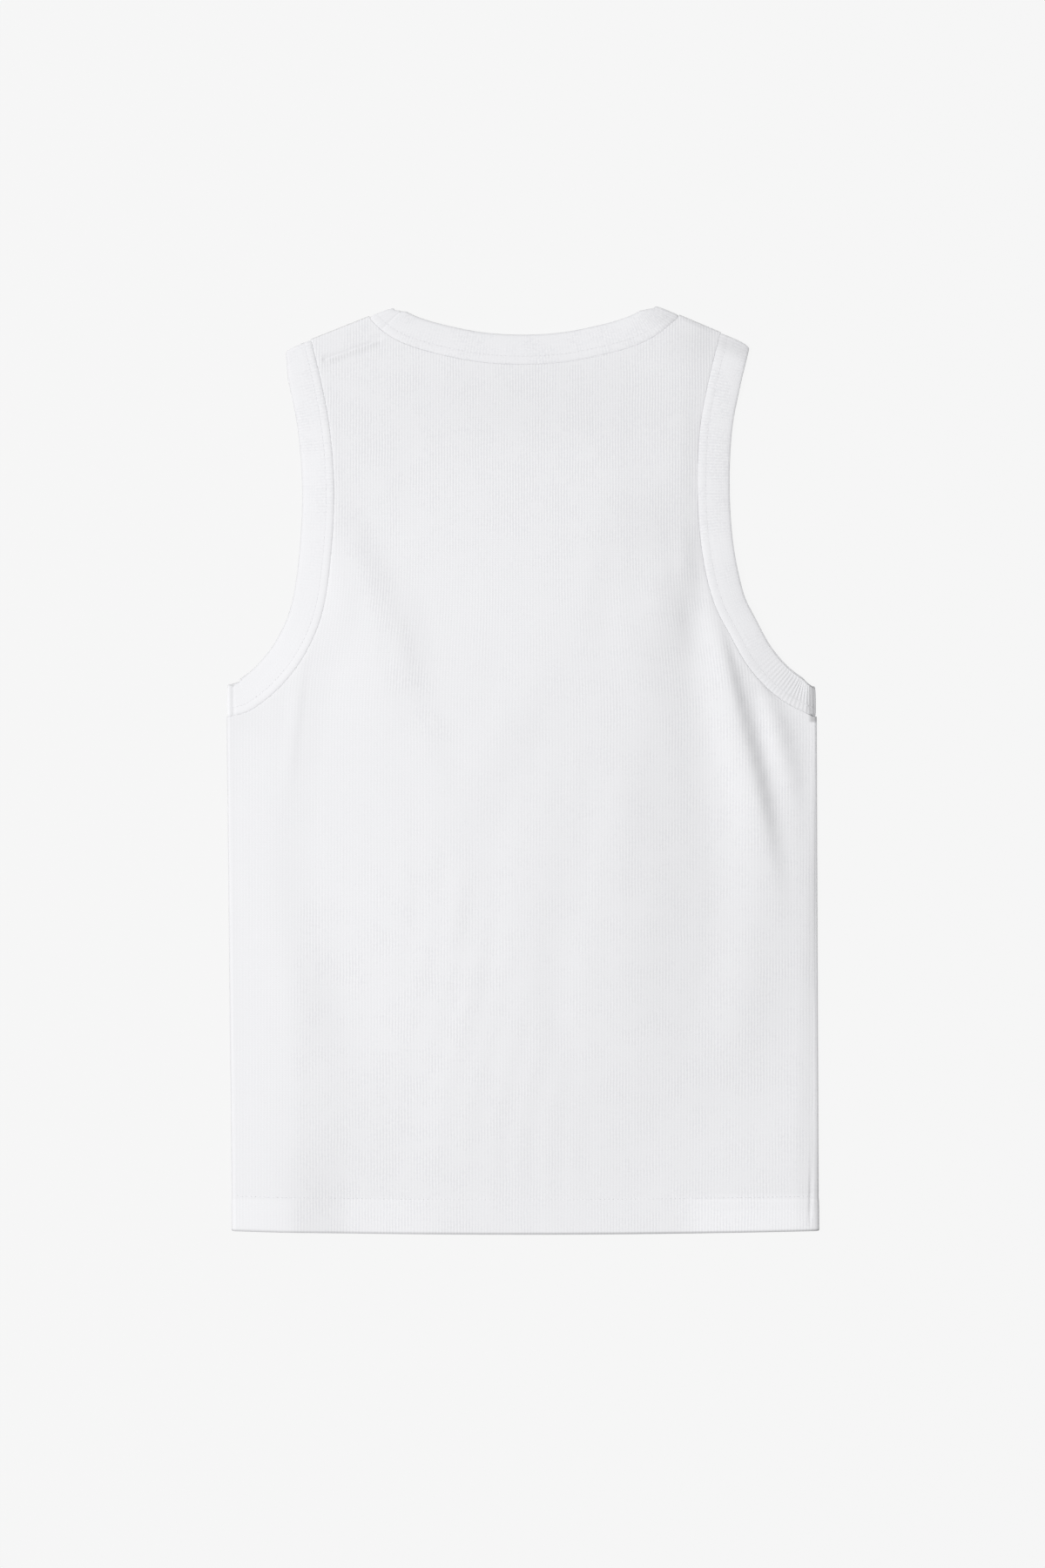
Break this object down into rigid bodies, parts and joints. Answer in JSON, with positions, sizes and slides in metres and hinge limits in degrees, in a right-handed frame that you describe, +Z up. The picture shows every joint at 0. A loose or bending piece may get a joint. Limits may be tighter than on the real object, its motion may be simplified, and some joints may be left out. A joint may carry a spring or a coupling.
{
  "type": "tank top",
  "caption": "Sleeveless rib-knit top laid flat with its back up, with bound armholes, a bound round neck and a turned hem.",
  "frame": {"origin": "under the middle of the garment's box, on the surface that it lies on", "axes": "+X across the garment to the right as its back is seen, +Y from the hem to the shoulders, +Z up out of its back"},
  "size_m": [0.4031, 0.632, 0.0131],
  "materials": {
    "body_rib": "matt white cotton rib knit with a slight sheen",
    "band_rib": "matt white cotton rib knit, doubled"
  },
  "bodies": {
    "root": {"back": "body_rib", "front": "body_rib", "neck_band": "band_rib", "armhole_band_left": "band_rib", "armhole_band_right": "band_rib"}
  },
  "joints": []
}
